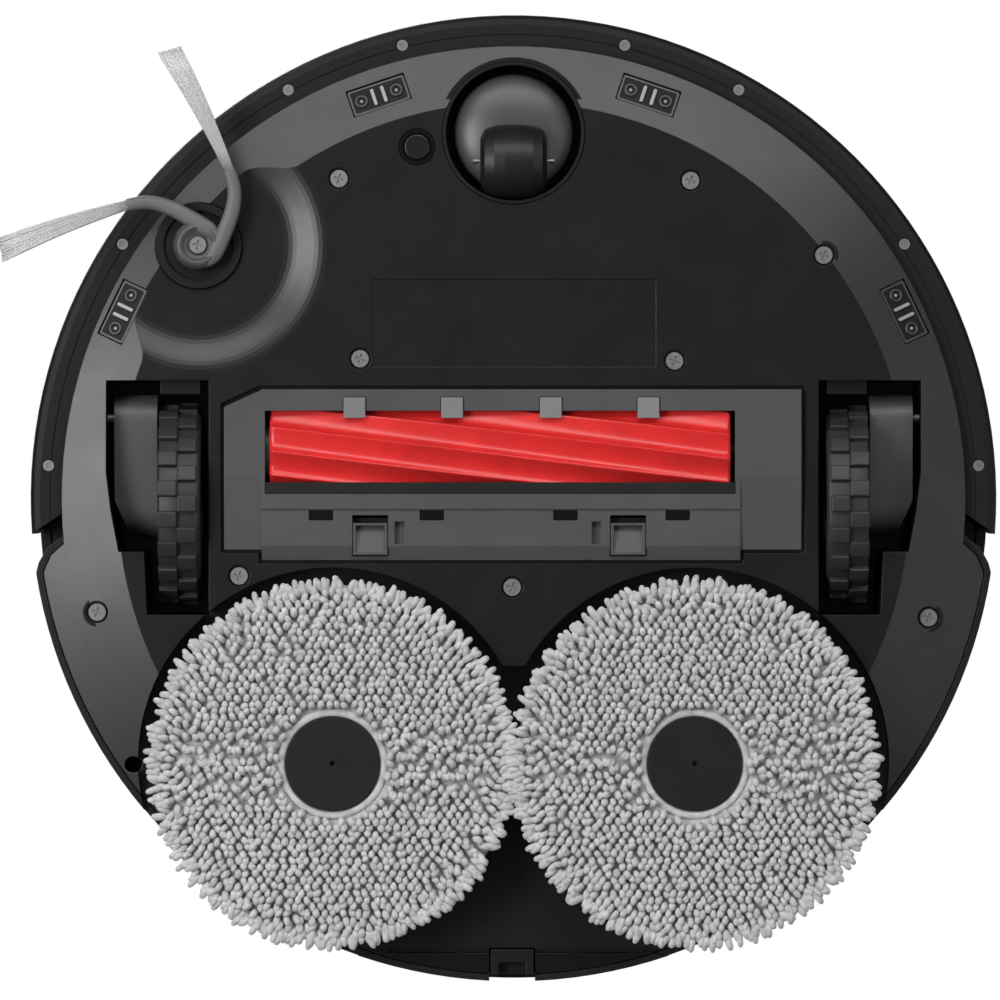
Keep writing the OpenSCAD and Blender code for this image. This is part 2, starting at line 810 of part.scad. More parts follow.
// Points on one side of a line drawn with a pen that narrows from w0 to w1
function pen_side(line, w0, w1, s) = [for (i = [0:len(line) - 1])
    let (a = line[max(i - 1, 0)], b = line[min(i + 1, len(line) - 1)], d = (b - a) / norm(b - a),
        w = w0 + (w1 - w0) * i / (len(line) - 1))
    line[i] + s * w * [-d[1], d[0]]];

function reversed(list) = [for (i = [len(list) - 1:-1:0]) list[i]];

module arm_stroke() {
    polygon(concat(pen_side(arm_line, 2.9, 1.9, 1), reversed(pen_side(arm_line, 2.9, 1.9, -1))));
}

module side_brush_arms() {
    color(plastic_grey) translate([side_x, side_y, 0]) difference() {
        union() {
            translate([0, 0, 5.2]) cylinder(r = 9, h = 7);
            translate([0, 0, 10]) cylinder(r = 4, h = 15);
            for (t = [0, -80]) {
                rotate([0, 0, t]) translate([0, 0, 5]) linear_extrude(4) arm_stroke();
            }
        }
        cylinder(r = 3.3, h = 7);
        cylinder(r = 1.3, h = 18, $fn = 32);
    }
}

module side_brush_bristles() {
    color(plastic_light) translate([side_x, side_y, 0]) for (t = [0, -80]) {
        rotate([0, 0, t]) translate([0, 0, 1.4]) linear_extrude(3.5) hull() {
            translate(arm_line[6]) circle(r = 1.8, $fn = 24);
            translate(arm_tip + [4.2, -1]) circle(r = 0.6, $fn = 16);
            translate(arm_tip + [-4.6, 1]) circle(r = 0.6, $fn = 16);
        }
    }
}

module side_brush_screw() {
    color(steel) translate([side_x, side_y, 5.6]) difference() {
        union() {
            cylinder(r = 3, h = 1.3, $fn = 40);
            cylinder(r = 1.2, h = 10, $fn = 24);
        }
        for (a = [0, 90]) {
            rotate([0, 0, a + 10]) cube([3.4, 0.7, 1.2], center = true);
        }
    }
}

// ---- brush guard ----

guard_z0 = 8.4;
guard_z1 = 13.4;

// Side profile (Y, Z) of the guard's middle: front land, deeper back half, sloped rear edge
guard_middle = [[-39.2, guard_z0], [4, guard_z0], [4, guard_z0 + 0.7], [17.3, guard_z0 + 0.7],
    [22.4, guard_z0 + 2.6], [22.4, guard_z1], [-39.2, guard_z1]];
// Side profile of the ears, which slope away behind the fold line
guard_ear = [[-39.2, guard_z0], [-8.3, guard_z0], [18.6, guard_z0 + 2.2], [18.6, guard_z1],
    [-39.2, guard_z1]];

module along_x(x0, x1, profile) {
    translate([x0, 0, 0]) rotate([90, 0, 90]) linear_extrude(x1 - x0) polygon(profile);
}

module brush_guard() {
    color(plastic_grey) difference() {
        union() {
            along_x(-90.8, 81.8, guard_middle);
            along_x(-104.4, -90.7, guard_ear);
            along_x(81.7, 103.8, guard_ear);
        }
        // chamfered front corner
        translate([-104.4, -32.8, 0]) rotate([0, 0, -24.7]) span([-10, -20, 0], [30, 0, 40]);
        // suction window
        span([-89.7, -31.5, 0], [79.9, -1.6, 40]);
        rod_x(brush_d / 2 + 0.8, -89.7, 79.9, brush_y, brush_z);
        for (x = slot_xs) {
            span([x - 4.35, 4.4, 0], [x + 4.35, 7.95, guard_z0 + 3]);
        }
        for (x = latch_xs) {
            span([x - 6.5, 6.2, 0], [x + 6.5, 21, 40]);
        }
        span([-42.9, 8.5, 0], [-39.2, 16.6, guard_z0 + 3]);
        span([28.2, 8.5, 0], [31.6, 16.6, guard_z0 + 3]);
        // seats of the front tabs
        for (x = tab_xs) {
            span([x - 4.1, -36.5, 0], [x + 4.1, -30, guard_z0 + 1.5]);
        }
    }
}

module guard_tabs() {
    color(plastic_light) for (x = tab_xs) {
        difference() {
            span([x - 3.9, -36.3, guard_z0 - 0.8], [x + 3.9, -28.9, guard_z0 + 1.5]);
            translate([x - 5, -36.3, guard_z0 - 0.8]) rotate([25, 0, 0])
                translate([0, -4, -2]) cube([10, 4, 4]);
            rod_x(brush_d / 2 + 0.8, x - 5, x + 5, brush_y, brush_z);
        }
    }
}

module guard_latch(x) {
    color(plastic_light) difference() {
        span([x - 6.2, 9, guard_z0 + 0.4], [x + 6.2, 20.5, guard_z1 - 0.4]);
        // sloping finger recess
        along_x(x - 5.2, x + 5.2, [[9.9, 0], [9.9, guard_z0 + 3.2], [19.6, guard_z0 + 1],
            [19.6, 0]]);
    }
}

module left_guard_latch() { guard_latch(latch_xs[1]); }
module right_guard_latch() { guard_latch(latch_xs[0]); }

// ---- mops ----

module mop_lift_frame() {
    color(plastic_grey) difference() {
        union() {
            for (s = [-1, 1]) {
                translate([s * mop_x, mop_y, 13.4]) cylinder(r = 20, h = 44.6);
            }
            span([-50, 99, 50.5], [50, 113, 56.5]);
        }
        for (s = [-1, 1]) {
            translate([s * mop_x, mop_y, 0]) cylinder(r = 4.07, h = 42);
        }
    }
}

module mop_motors() {
    color(steel) for (s = [-1, 1]) {
        on_side(s) rod_x(10.5, 16, 44.6, mop_y, 39);
    }
}

module mop_plate() {
    color(plastic_black) translate([mop_x, mop_y, 0]) difference() {
        union() {
            translate([0, 0, pad_t + 0.1]) cylinder(r = 60, h = 3);
            translate([0, 0, 3]) cylinder(r = pad_hole_d / 2 - 0.3, h = 9);
            translate([0, 0, 10]) cylinder(r = 4, h = 31);
        }
        // dimple in the hub
        translate([0, 0, 2]) cylinder(r = 1, h = 3, $fn = 32);
    }
}

module mop_pad() {
    color(yarn_grey) translate([mop_x, mop_y, 0]) tube(pad_d / 2, pad_hole_d / 2, 0, pad_t);
}

module left_mop_plate() { mop_plate(); }
module left_mop_pad() { mop_pad(); }
module right_mop_plate() { on_side(-1) mop_plate(); }
module right_mop_pad() { on_side(-1) mop_pad(); }

// ---- top: buttons and lid ----

module button(x) {
    color(plastic_light) translate([x, -9, 0]) {
        translate([0, 0, 74]) cylinder(r = 5, h = deck_z + 0.5 - 74);
        translate([0, 0, 73.4]) cylinder(r = 6.6, h = 2.2);
    }
}

module power_button() { button(-14); }
module home_button() { button(14); }

module top_lid() {
    color(plastic_dark) difference() {
        union() {
            translate([0, 0, deck_z - 2.1]) linear_extrude(2.1) lid_outline(0);
            rod_x(1, -lid_half - 4, -lid_half + 3, hinge_y, hinge_z);
            rod_x(1, lid_half - 3, lid_half + 4, hinge_y, hinge_z);
        }
        translate([0, -lid_r - 3, deck_z + 5]) sphere(r = 9);
    }
}

bottom_chassis();
rear_shell();
top_deck();
brush_housing();
bin_bay();
main_board();
battery_pack();
fan_blower();
side_brush_gearbox();
main_brush_gearbox();
water_tank();
water_pump();
speaker();
charging_contacts();
rear_water_port();
cliff_sensor_windows();
carpet_sensor();
caster_socket();
chassis_screws();
suspension_pins();
lidar_base();
lidar_cap();
dust_bin();
dust_filter();
bumper_shell();
bumper_screws();
bumper_sensor_window();
left_wheel_gearbox();
left_drive_motor();
left_suspension_spring();
left_wheel_rim();
left_tyre();
right_wheel_gearbox();
right_drive_motor();
right_suspension_spring();
right_wheel_rim();
right_tyre();
caster_fork();
caster_axle();
caster_wheel();
main_brush_core();
main_brush_blades();
main_brush_end_caps();
side_brush_arms();
side_brush_bristles();
side_brush_screw();
brush_guard();
guard_tabs();
left_guard_latch();
right_guard_latch();
mop_lift_frame();
mop_motors();
left_mop_plate();
left_mop_pad();
right_mop_plate();
right_mop_pad();
top_lid();
lidar_rotor();
power_button();
home_button();
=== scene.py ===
# Robot vacuum and mop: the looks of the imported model, in metres, in the model's own frame.
import bpy
import math
import random
from mathutils import Matrix, Vector


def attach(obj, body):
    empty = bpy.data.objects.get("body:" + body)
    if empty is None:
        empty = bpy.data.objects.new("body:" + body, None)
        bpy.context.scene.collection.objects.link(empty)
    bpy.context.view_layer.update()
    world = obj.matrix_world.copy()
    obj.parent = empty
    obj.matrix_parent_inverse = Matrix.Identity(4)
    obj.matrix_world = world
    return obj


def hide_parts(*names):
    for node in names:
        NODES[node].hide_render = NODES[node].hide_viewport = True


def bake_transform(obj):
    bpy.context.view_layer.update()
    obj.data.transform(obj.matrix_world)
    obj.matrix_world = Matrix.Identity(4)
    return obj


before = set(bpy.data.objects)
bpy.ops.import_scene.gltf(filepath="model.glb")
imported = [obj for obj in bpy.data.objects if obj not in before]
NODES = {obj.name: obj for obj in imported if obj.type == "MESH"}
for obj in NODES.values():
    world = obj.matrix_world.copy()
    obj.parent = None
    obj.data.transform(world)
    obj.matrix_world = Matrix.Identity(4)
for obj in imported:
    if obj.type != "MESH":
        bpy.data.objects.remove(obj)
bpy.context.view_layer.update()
MM = 0.001

# measures that several pieces share, in millimetres
PLATE_Z = 11
PLATE_R = 143
BAND_SLOPE = 7 / 20.5
SIDE_BRUSH_XY = (-113.8, -91.2)


# ---- camera, stage and light ----

def look_at(obj, target):
    """Turns a light or camera so that it faces a point."""
    obj.rotation_euler = (Vector(target) - obj.location).to_track_quat("-Z", "Y").to_euler()


def make_camera():
    """A long lens straight below the robot, with the bumper at the top of the picture."""
    view_width = 361 * MM
    distance = 3.2
    aim_x, aim_y, aim_z = -4.9 * MM, 0.7 * MM, 12 * MM
    cam = bpy.data.objects.new("camera", bpy.data.cameras.new("camera"))
    cam.data.sensor_width = 36
    cam.data.lens = 36 * distance / view_width
    cam.data.clip_start = 0.05
    cam.data.clip_end = 20
    cam.location = (aim_x, aim_y, aim_z - distance)
    cam.rotation_euler = (math.pi, 0, 0)
    bpy.context.collection.objects.link(cam)
    bpy.context.scene.camera = cam


def area_light(name, location, target, size, power):
    """A rectangular softbox that faces the target."""
    light = bpy.data.objects.new(name, bpy.data.lights.new(name, "AREA"))
    light.data.shape = "RECTANGLE"
    light.data.size, light.data.size_y = size
    light.data.energy = power
    light.location = location
    look_at(light, target)
    bpy.context.collection.objects.link(light)


def make_floor():
    """A pale, faintly glowing floor, seen from above only: a view from below looks through it."""
    mesh = bpy.data.meshes.new("floor")
    half = 30.0
    corners = [(-half, -half, 0), (half, -half, 0), (half, half, 0), (-half, half, 0)]
    mesh.from_pydata(corners, [], [(0, 1, 2, 3)])
    floor = bpy.data.objects.new("floor", mesh)
    bpy.context.collection.objects.link(floor)
    mat = bpy.data.materials.new("floor")
    mat.use_nodes = True
    nodes, links = mat.node_tree.nodes, mat.node_tree.links
    nodes.clear()
    out = nodes.new("ShaderNodeOutputMaterial")
    mix = nodes.new("ShaderNodeMixShader")
    pale = nodes.new("ShaderNodeBsdfDiffuse")
    pale.inputs["Color"].default_value = (0.34, 0.34, 0.34, 1)
    glow = nodes.new("ShaderNodeEmission")
    glow.inputs["Color"].default_value = (0.56, 0.56, 0.56, 1)
    even = nodes.new("ShaderNodeAddShader")
    clear = nodes.new("ShaderNodeBsdfTransparent")
    geometry = nodes.new("ShaderNodeNewGeometry")
    links.new(geometry.outputs["Backfacing"], mix.inputs[0])
    links.new(pale.outputs[0], even.inputs[0])
    links.new(glow.outputs[0], even.inputs[1])
    links.new(even.outputs[0], mix.inputs[1])
    links.new(clear.outputs[0], mix.inputs[2])
    links.new(mix.outputs[0], out.inputs[0])
    mesh.materials.append(mat)
    floor.visible_shadow = False
    floor.visible_diffuse = False
    floor.visible_glossy = False
    floor.visible_transmission = False


def make_world():
    """White to the camera, and a dimmer even light on the object."""
    world = bpy.data.worlds.new("studio")
    world.use_nodes = True
    nodes, links = world.node_tree.nodes, world.node_tree.links
    nodes.clear()
    out = nodes.new("ShaderNodeOutputWorld")
    mix = nodes.new("ShaderNodeMixShader")
    light = nodes.new("ShaderNodeBackground")
    light.inputs["Color"].default_value = (1, 1, 1, 1)
    light.inputs["Strength"].default_value = 0.10
    white = nodes.new("ShaderNodeBackground")
    white.inputs["Color"].default_value = (1, 1, 1, 1)
    white.inputs["Strength"].default_value = 1.0
    path = nodes.new("ShaderNodeLightPath")
    links.new(path.outputs["Is Camera Ray"], mix.inputs[0])
    links.new(light.outputs[0], mix.inputs[1])
    links.new(white.outputs[0], mix.inputs[2])
    links.new(mix.outputs[0], out.inputs[0])
    bpy.context.scene.world = world


def make_lights():
    """Softboxes below for the underside, and above for every other view."""
    centre = (0, 0, 0.03)
    area_light("key_below_left", (-1.15, -0.14, -1.42), centre, (0.8, 0.62), 17)
    area_light("fill_below_front", (0.0, -1.35, -1.5), centre, (2.8, 0.75), 30)
    area_light("fill_below_left", (-1.3, 0.5, -1.5), centre, (1.0, 0.6), 3)
    area_light("fill_below_right", (1.4, 0.1, -1.5), centre, (1.6, 0.9), 5)
    area_light("key_above", (-0.9, -1.2, 1.6), centre, (1.0, 1.0), 40)
    area_light("fill_above", (1.4, 0.8, 1.3), centre, (1.2, 1.2), 22)
    area_light("back_above", (-0.4, 1.6, 1.0), centre, (1.0, 0.6), 14)


make_camera()
make_floor()
make_world()
make_lights()
bpy.context.scene.view_settings.view_transform = "Standard"
bpy.context.scene.view_settings.look = "None"


# ---- materials ----

def new_material(name):
    """An empty node material and its shader."""
    mat = bpy.data.materials.new(name)
    mat.use_nodes = True
    shader = mat.node_tree.nodes["Principled BSDF"]
    return mat, mat.node_tree.nodes, mat.node_tree.links, shader


def noise(nodes, links, coords, scale, detail, roughness):
    """A noise value at each point."""
    node = nodes.new("ShaderNodeTexNoise")
    node.inputs["Scale"].default_value = scale
    node.inputs["Detail"].default_value = detail
    node.inputs["Roughness"].default_value = roughness
    links.new(coords, node.inputs["Vector"])
    return node.outputs["Fac"]


def to_range(nodes, links, value, low, high):
    """Stretches a value from 0 and 1 to low and high."""
    node = nodes.new("ShaderNodeMapRange")
    node.inputs["To Min"].default_value = low
    node.inputs["To Max"].default_value = high
    links.new(value, node.inputs["Value"])
    return node.outputs["Result"]


def colour_mix(nodes, links, fac, dark, light):
    """A colour between dark and light, by a noise value."""
    ramp = nodes.new("ShaderNodeValToRGB")
    ramp.color_ramp.elements[0].position = 0.3
    ramp.color_ramp.elements[0].color = (*dark, 1)
    ramp.color_ramp.elements[1].position = 0.7
    ramp.color_ramp.elements[1].color = (*light, 1)
    links.new(fac, ramp.inputs[0])
    return ramp.outputs[0]


def grey(v):
    """A very slightly cool grey."""
    return (v, v, v * 1.02)


def plastic(name, colour, rough, variation=0.12, grain=2600, grain_depth=0.05, edge=0.0, shine=0.5):
    """Moulded plastic: cloudy tone, fine grain, slightly uneven gloss and rounded edges.

    edge is the edges' radius in millimetres.
    """
    mat, nodes, links, shader = new_material(name)
    coords = nodes.new("ShaderNodeTexCoord").outputs["Object"]
    cloud = noise(nodes, links, coords, 28, 4, 0.55)
    dark = tuple(c * (1 - variation) for c in colour)
    light = tuple(c * (1 + variation) for c in colour)
    links.new(colour_mix(nodes, links, cloud, dark, light), shader.inputs["Base Color"])
    shader.inputs["Specular IOR Level"].default_value = shine
    smear = noise(nodes, links, coords, 60, 5, 0.6)
    links.new(to_range(nodes, links, smear, rough - 0.05, rough + 0.05), shader.inputs["Roughness"])
    bump = nodes.new("ShaderNodeBump")
    bump.inputs["Strength"].default_value = grain_depth
    bump.inputs["Distance"].default_value = 0.1 * MM
    links.new(noise(nodes, links, coords, grain, 2, 0.6), bump.inputs["Height"])
    if edge > 0:
        bevel = nodes.new("ShaderNodeBevel")
        bevel.samples = 4
        bevel.inputs["Radius"].default_value = edge * MM
        links.new(bevel.outputs["Normal"], bump.inputs["Normal"])
    links.new(bump.outputs["Normal"], shader.inputs["Normal"])
    return mat


def metal(name, colour, rough):
    """Machined metal with fine scratches."""
    mat, nodes, links, shader = new_material(name)
    shader.inputs["Metallic"].default_value = 1.0
    coords = nodes.new("ShaderNodeTexCoord").outputs["Object"]
    stretch = nodes.new("ShaderNodeMapping")
    stretch.inputs["Scale"].default_value = (400, 40, 400)
    links.new(coords, stretch.inputs["Vector"])
    streak = noise(nodes, links, stretch.outputs[0], 6, 4, 0.6)
    dark = tuple(c * 0.8 for c in colour)
    links.new(colour_mix(nodes, links, streak, dark, colour), shader.inputs["Base Color"])
    links.new(to_range(nodes, links, streak, rough - 0.06, rough + 0.08), shader.inputs["Roughness"])
    return mat


def rubber(name, colour, rough, variation):
    """Moulded rubber: satin, with faint flow streaks and dust in the tone."""
    mat, nodes, links, shader = new_material(name)
    coords = nodes.new("ShaderNodeTexCoord").outputs["Object"]
    cloud = noise(nodes, links, coords, 90, 5, 0.6)
    dark = tuple(c * (1 - variation) for c in colour)
    light = tuple(c * (1 + variation) for c in colour)
    links.new(colour_mix(nodes, links, cloud, dark, light), shader.inputs["Base Color"])
    stretch = nodes.new("ShaderNodeMapping")
    stretch.inputs["Scale"].default_value = (0.12, 1, 1)
    links.new(coords, stretch.inputs["Vector"])
    streak = noise(nodes, links, stretch.outputs[0], 700, 3, 0.6)
    links.new(to_range(nodes, links, streak, rough - 0.06, rough + 0.08), shader.inputs["Roughness"])
    bump = nodes.new("ShaderNodeBump")
    bump.inputs["Strength"].default_value = 0.10
    bump.inputs["Distance"].default_value = 0.15 * MM
    links.new(streak, bump.inputs["Height"])
    links.new(bump.outputs["Normal"], shader.inputs["Normal"])
    return mat


def bristle():
    """Pale nylon fibres that lighten towards their tips, with slight differences of tone."""
    mat, nodes, links, shader = new_material("bristle_nylon")
    coords = nodes.new("ShaderNodeTexCoord").outputs["Object"]
    tone = noise(nodes, links, coords, 1400, 2, 0.5)
    root_r, tip_r = 28 * MM, 76 * MM
    reach = nodes.new("ShaderNodeVectorMath")
    reach.operation = "DISTANCE"
    reach.inputs[1].default_value = (SIDE_BRUSH_XY[0] * MM, SIDE_BRUSH_XY[1] * MM, 0)
    links.new(coords, reach.inputs[0])
    outward = nodes.new("ShaderNodeMapRange")
    outward.inputs["From Min"].default_value = root_r
    outward.inputs["From Max"].default_value = tip_r
    links.new(reach.outputs["Value"], outward.inputs["Value"])
    root = colour_mix(nodes, links, tone, (0.33, 0.33, 0.325), (0.41, 0.41, 0.405))
    tip = colour_mix(nodes, links, tone, (0.58, 0.58, 0.575), (0.70, 0.70, 0.695))
    blend = nodes.new("ShaderNodeMix")
    blend.data_type = "RGBA"
    links.new(outward.outputs[0], blend.inputs[0])
    links.new(root, blend.inputs[6])
    links.new(tip, blend.inputs[7])
    links.new(blend.outputs[2], shader.inputs["Base Color"])
    links.new(to_range(nodes, links, tone, 0.30, 0.42), shader.inputs["Roughness"])
    return mat


def yarn(name, dark, light):
    """Microfibre yarn: tufts of slightly different tone, with a fuzzy twisted surface."""
    mat, nodes, links, shader = new_material(name)
    coords = nodes.new("ShaderNodeTexCoord").outputs["Object"]
    tuft = noise(nodes, links, coords, 330, 1, 0.4)
    links.new(colour_mix(nodes, links, tuft, dark, light), shader.inputs["Base Color"])
    shader.inputs["Roughness"].default_value = 0.92
    shader.inputs["Sheen Weight"].default_value = 0.25
    shader.inputs["Sheen Roughness"].default_value = 0.5
    fuzz = noise(nodes, links, coords, 2600, 4, 0.7)
    bump = nodes.new("ShaderNodeBump")
    bump.inputs["Strength"].default_value = 0.7
    bump.inputs["Distance"].default_value = 0.35 * MM
    links.new(fuzz, bump.inputs["Height"])
    links.new(bump.outputs["Normal"], shader.inputs["Normal"])
    return mat


M = {
    "underside": plastic("underside_plastic", grey(0.0055), 0.33, 0.08, edge=0.35),
    "shell": plastic("shell_plastic", grey(0.0065), 0.36, 0.08, edge=0.5),
    "deck": plastic("deck_plastic", grey(0.014), 0.24, 0.06, grain_depth=0.02, edge=0.3),
    "dark": plastic("dark_plastic", grey(0.022), 0.45, 0.1, edge=0.3),
    "grey": plastic("guard_plastic", grey(0.068), 0.42, 0.07, edge=0.35),
    "arm": plastic("gearbox_plastic", grey(0.075), 0.45, 0.08, edge=0.5),
    "light": plastic("tab_plastic", grey(0.20), 0.38, 0.08, edge=0.3),
    "bumper": plastic("bumper_plastic", grey(0.0075), 0.55, 0.08, edge=0.4, shine=0.22),
    "socket": plastic("socket_plastic", grey(0.004), 0.45, 0.1, edge=0.3, shine=0.3),
    # near-black and dull: the black paints the shade in the cliff windows' recesses
    "window": plastic("window_painted_shade", grey(0.010), 0.5, 0.1, grain_depth=0.02, shine=0.15),
    # near-black that paints shade: the depths of the guard's slots and the recess of the carpet
    # sensor's ring
    "painted_shade": plastic("painted_shade_black", grey(0.003), 0.7, 0.2, shine=0.1),
    "dome": plastic("dome_plastic", grey(0.052), 0.36, 0.05, grain_depth=0.015, edge=0.3),
    "hub": plastic("mop_hub_plastic", grey(0.0045), 0.40, 0.08, edge=0.4),
    "caster_rubber": plastic("caster_rubber", grey(0.010), 0.42, 0.15, grain=900, grain_depth=0.12,
                             shine=0.35),
    "board": plastic("circuit_board", (0.012, 0.09, 0.04), 0.35, 0.3, grain=300, grain_depth=0.2),
    "battery": plastic("battery_wrap", (0.02, 0.045, 0.14), 0.3, 0.1),
    "smoke": plastic("smoke_plastic", grey(0.05), 0.18, 0.1, grain_depth=0.02, edge=0.4),
    "filter": plastic("filter_paper", (0.75, 0.75, 0.70), 0.85, 0.06, grain=1500, grain_depth=0.5),
    "steel": metal("steel", (0.33, 0.33, 0.34), 0.45),
    "gold": metal("contact_plating", (0.62, 0.58, 0.50), 0.25),
    "red_rubber": rubber("red_rubber", (0.68, 0.023, 0.022), 0.30, 0.12),
    "arm_rubber": rubber("arm_rubber", (0.12, 0.12, 0.12), 0.5, 0.08),
    "tyre": rubber("tyre_rubber", (0.022, 0.022, 0.022), 0.5, 0.2),
    "hub_rubber": rubber("hub_rubber", (0.065, 0.065, 0.065), 0.40, 0.08),
    "bristle": bristle(),
    "yarn": yarn("yarn", (0.46, 0.458, 0.452), (0.62, 0.618, 0.61)),
    "backing": yarn("pad_backing", (0.46, 0.46, 0.455), (0.58, 0.58, 0.575)),
    "lens_frame": plastic("lens_frame", grey(0.035), 0.4, 0.1, edge=0.15),
    "emitter": plastic("emitter_plastic", grey(0.30), 0.35, 0.1, edge=0.15),
}


def paint(material, *names):
    """Gives CAD nodes a material."""
    for name in names:
        mesh = NODES[name].data
        mesh.materials.clear()
        mesh.materials.append(M[material])


paint("underside", "bottom_chassis", "rear_water_port")
# The carpet sensor is painted near-black: painted shade for the recess of its ring.
paint("painted_shade", "carpet_sensor")
paint("shell", "rear_shell", "speaker")
paint("bumper", "bumper_shell")
# The cliff windows are near-black: painted shade for their recesses.
paint("window", "cliff_sensor_windows")
paint("deck", "top_deck", "top_lid", "lidar_cap", "bumper_sensor_window")
paint("dark", "brush_housing", "bin_bay", "lidar_base", "lidar_rotor", "left_wheel_rim",
      "right_wheel_rim", "main_brush_core")
paint("grey", "brush_guard", "left_guard_latch", "right_guard_latch", "fan_blower",
      "main_brush_gearbox", "mop_lift_frame", "water_pump")
paint("arm", "left_wheel_gearbox", "right_wheel_gearbox")
paint("light", "guard_tabs", "main_brush_end_caps", "power_button", "home_button")
paint("socket", "caster_socket", "side_brush_gearbox")
paint("hub", "left_mop_plate", "right_mop_plate")
paint("caster_rubber", "caster_wheel")
paint("board", "main_board")
paint("battery", "battery_pack")
paint("smoke", "dust_bin", "water_tank")
paint("filter", "dust_filter")
paint("steel", "chassis_screws", "bumper_screws", "suspension_pins", "left_drive_motor",
      "right_drive_motor", "mop_motors", "side_brush_screw", "caster_axle")
paint("gold", "charging_contacts")


# ---- mesh helpers (lengths in millimetres, turned into metres as the mesh is made) ----

def add_mesh(name, verts, faces, material, body, smooth=True):
    """A new piece, which rides on a body unless body is None."""
    mesh = bpy.data.meshes.new(name)
    mesh.from_pydata([(x * MM, y * MM, z * MM) for x, y, z in verts], [], faces)
    mesh.polygons.foreach_set("use_smooth", [smooth] * len(mesh.polygons))
    mesh.materials.append(M[material])
    obj = bpy.data.objects.new(name, mesh)
    bpy.context.collection.objects.link(obj)
    mesh.update()
    if body:
        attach(obj, body)
    return obj


def add_modifier(obj, kind, **settings):
    """Adds a modifier with its settings."""
    mod = obj.modifiers.new(kind.lower(), kind)
    for key, value in settings.items():
        setattr(mod, key, value)


def apply_modifiers(obj):
    """Turns the modified shape into the object's own mesh."""
    graph = bpy.context.evaluated_depsgraph_get()
    mesh = bpy.data.meshes.new_from_object(obj.evaluated_get(graph))
    obj.modifiers.clear()
    obj.data = mesh


def quads(rings, count, wrap=False, flip=False, start=0):
    """Faces between rings of count points. wrap joins the last ring to the first."""
    faces = []
    for i in range(rings if wrap else rings - 1):
        here, there = start + i * count, start + (i + 1) % rings * count
        for j in range(count):
            k = (j + 1) % count
            faces.append((here + j, there + j, there + k, here + k) if flip
                         else (here + j, here + k, there + k, there + j))
    return faces


class Strands:
    """Collects many thin swept tubes into one mesh."""

    def __init__(self):
        self.verts = []
        self.faces = []

    def sweep(self, points, radii, sides, flat=1.0):
        """A closed tube along points. flat squeezes the ring's second direction."""
        start = len(self.verts)
        points = [Vector(p) for p in points]
        count = len(points)
        side = None
        for i, point in enumerate(points):
            along = (points[min(i + 1, count - 1)] - points[max(i - 1, 0)]).normalized()
            if side is None:
                side = along.cross(Vector((0, 0, 1)))
                if side.length < 0.1:
                    side = along.cross(Vector((1, 0, 0)))
            side = (side - along * side.dot(along)).normalized()
            up = along.cross(side)
            for j in range(sides):
                a = 2 * math.pi * j / sides
                self.verts.append(tuple(point + side * (radii[i] * math.cos(a))
                                        + up * (radii[i] * flat * math.sin(a))))
        self.faces += quads(count, sides, start=start)
        self.faces.append(tuple(start + j for j in reversed(range(sides))))
        self.faces.append(tuple(start + (count - 1) * sides + j for j in range(sides)))


def revolve(profile, centre, steps):
    """A closed ring of (radius, height) points turned about a vertical axis."""
    verts = []
    for i in range(steps):
        a = 2 * math.pi * i / steps
        for r, z in profile:
            verts.append((centre[0] + r * math.cos(a), centre[1] + r * math.sin(a), z))
    return verts, quads(steps, len(profile), wrap=True, flip=True)


def slab(outline, z0, z1):
    """An upright prism on an outline."""
    count = len(outline)
    verts = [(x, y, z0) for x, y in outline] + [(x, y, z1) for x, y in outline]
    faces = [tuple(reversed(range(count))), tuple(range(count, 2 * count))]
    for i in range(count):
        k = (i + 1) % count
        faces.append((i, k, count + k, count + i))
    return verts, faces


def rounded_box(x0, x1, y0, y1, corner, steps=5):
    """A rectangle's outline with round corners, anticlockwise."""
    points = []
    for cx, cy, turn in ((x1 - corner, y1 - corner, 0), (x0 + corner, y1 - corner, 90),
                         (x0 + corner, y0 + corner, 180), (x1 - corner, y0 + corner, 270)):
        for i in range(steps + 1):
            a = math.radians(turn + 90 * i / steps)
            points.append((cx + corner * math.cos(a), cy + corner * math.sin(a)))
    return points


def smooth_line(points, steps):
    """A Catmull-Rom curve through points."""
    points = [Vector(p) for p in points]
    padded = [2 * points[0] - points[1]] + points + [2 * points[-1] - points[-2]]
    out = []
    for i in range(1, len(padded) - 2):
        a, b, c, d = padded[i - 1:i + 3]
        for k in range(steps):
            t = k / steps
            out.append(0.5 * (2 * b + (c - a) * t + (2 * a - 5 * b + 4 * c - d) * t * t
                              + (3 * b - a - 3 * c + d) * t * t * t))
    out.append(points[-1])
    return out


# ---- mop pads: a fabric backing with bent yarn fingers ----

MOP_Y = 95.7
MOP_X = 65.2
HOLE_R = 17.3
PAD_R = 64.9


def yarn_finger(strands, rng, x, y, heading, length, base_z=7.6):
    """One tuft that hangs down from the backing and lies over in the direction of heading."""
    dx, dy = math.cos(heading), math.sin(heading)
    swerve = rng.uniform(-0.4, 0.4)
    thick = rng.uniform(1.04, 1.28)
    low = rng.uniform(1.5, 2.3)
    path = [(0.0, base_z), (0.12, 4.6), (0.32, low + 0.7), (0.58, low), (0.82, low + 0.1),
            (0.96, low + 0.35), (1.0, low + 0.6)]
    radii = [0.85, 1.0, 1.08, 1.1, 1.02, 0.72, 0.3]
    points = []
    for along, z in path:
        bend = swerve * along * along * 1.6
        points.append((x + dx * along * length - dy * bend, y + dy * along * length + dx * bend, z))
    strands.sweep(points, [r * thick for r in radii], 7)


